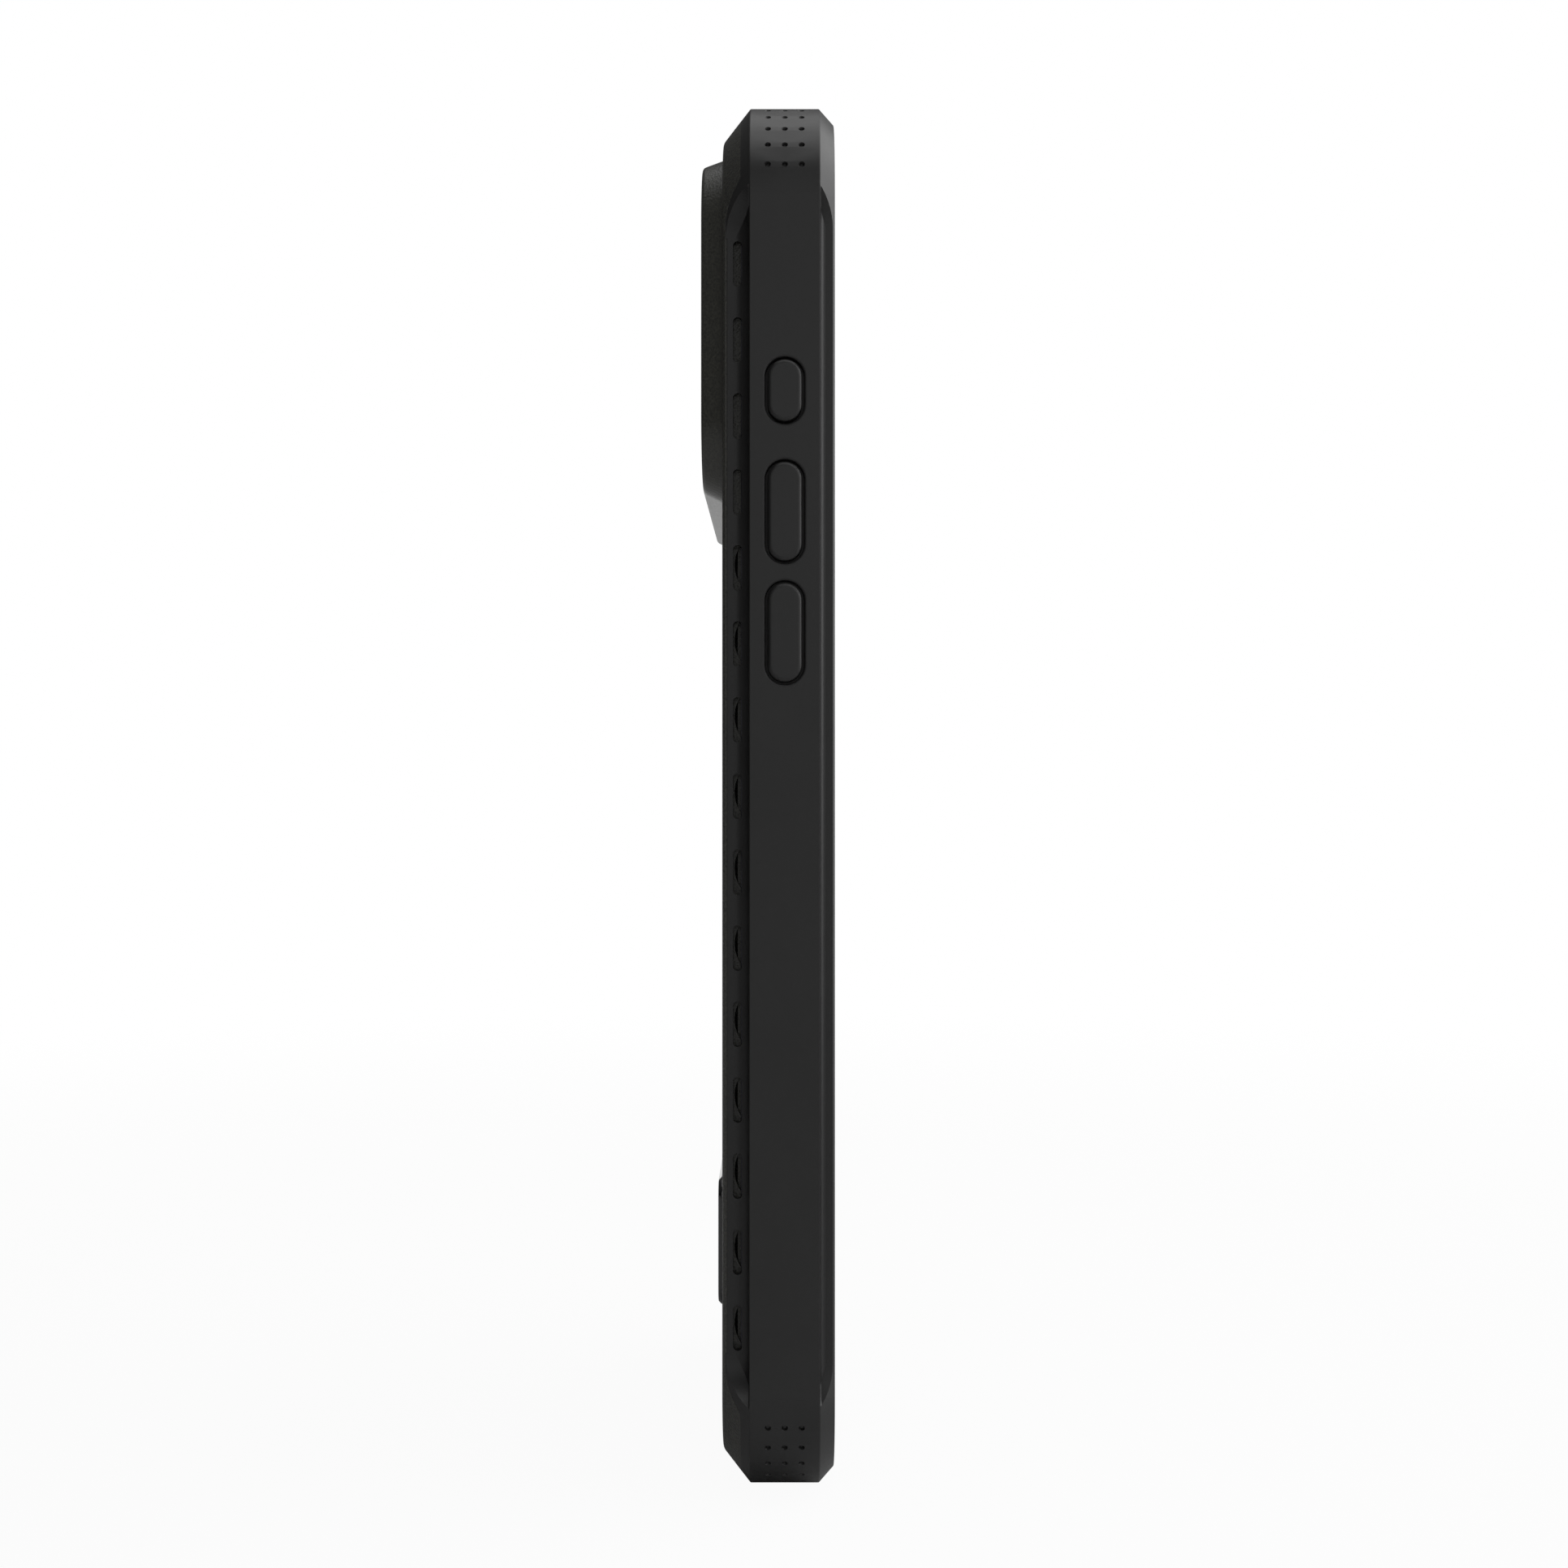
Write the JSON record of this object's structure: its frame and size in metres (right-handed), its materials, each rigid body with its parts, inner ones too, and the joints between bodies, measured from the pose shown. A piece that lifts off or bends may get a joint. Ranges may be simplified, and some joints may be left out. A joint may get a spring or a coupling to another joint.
{
  "type": "phone case",
  "caption": "Rugged two-part phone case with a soft bumper frame, a vented hard back with a raised camera guard, magnets in the back and push buttons in its sides.",
  "frame": {"origin": "centre of the face that the phone's back rests on", "axes": "+Z towards the phone's top edge, +Y out of the back, -Y towards the screen; the edge with three buttons faces -X"},
  "size_m": [0.0774, 0.0148, 0.155],
  "materials": {
    "frame_tpu": "satin moulded thermoplastic polyurethane",
    "shell_polycarbonate": "fine spark-eroded texture",
    "guard_polycarbonate": "fine spark-eroded texture",
    "liner_microfibre": "short pile",
    "magnet_nickel": "nickel plated",
    "bar_magnet_nickel": "nickel plated",
    "film_pet": "thin film",
    "plate_gloss": "polished",
    "tape_foam": "foam tape",
    "button_polycarbonate": "satin",
    "retainer_tpu": "matt moulded",
    "pad_elastomer": "matt moulded"
  },
  "bodies": {
    "case": {"bumper_frame": "frame_tpu", "rear_shell": "shell_polycarbonate", "camera_guard": "guard_polycarbonate", "seat_liner": "liner_microfibre", "magnet_ring": "magnet_nickel", "alignment_magnet": "bar_magnet_nickel", "magnet_film": "film_pet", "name_plate": "plate_gloss", "name_plate_tape": "tape_foam", "left_button_retainer": "retainer_tpu", "right_button_retainer": "retainer_tpu", "top_left_pad": "pad_elastomer", "top_right_pad": "pad_elastomer", "bottom_left_pad": "pad_elastomer", "bottom_right_pad": "pad_elastomer"},
    "action_key": {"action_button": "button_polycarbonate"},
    "volume_up_key": {"volume_up_button": "button_polycarbonate"},
    "volume_down_key": {"volume_down_button": "button_polycarbonate"},
    "side_key": {"side_button": "button_polycarbonate"}
  },
  "joints": [
    {"name": "action_press", "type": "slide", "parent": "case", "child": "action_key", "axis": [1, 0, 0], "range_m": [0, 0.00035], "stiffness_N_per_m": 1500},
    {"name": "volume_up_press", "type": "slide", "parent": "case", "child": "volume_up_key", "axis": [1, 0, 0], "range_m": [0, 0.00035], "stiffness_N_per_m": 1500},
    {"name": "volume_down_press", "type": "slide", "parent": "case", "child": "volume_down_key", "axis": [1, 0, 0], "range_m": [0, 0.00035], "stiffness_N_per_m": 1500},
    {"name": "side_press", "type": "slide", "parent": "case", "child": "side_key", "axis": [-1, 0, 0], "range_m": [0, 0.00035], "stiffness_N_per_m": 1500}
  ]
}
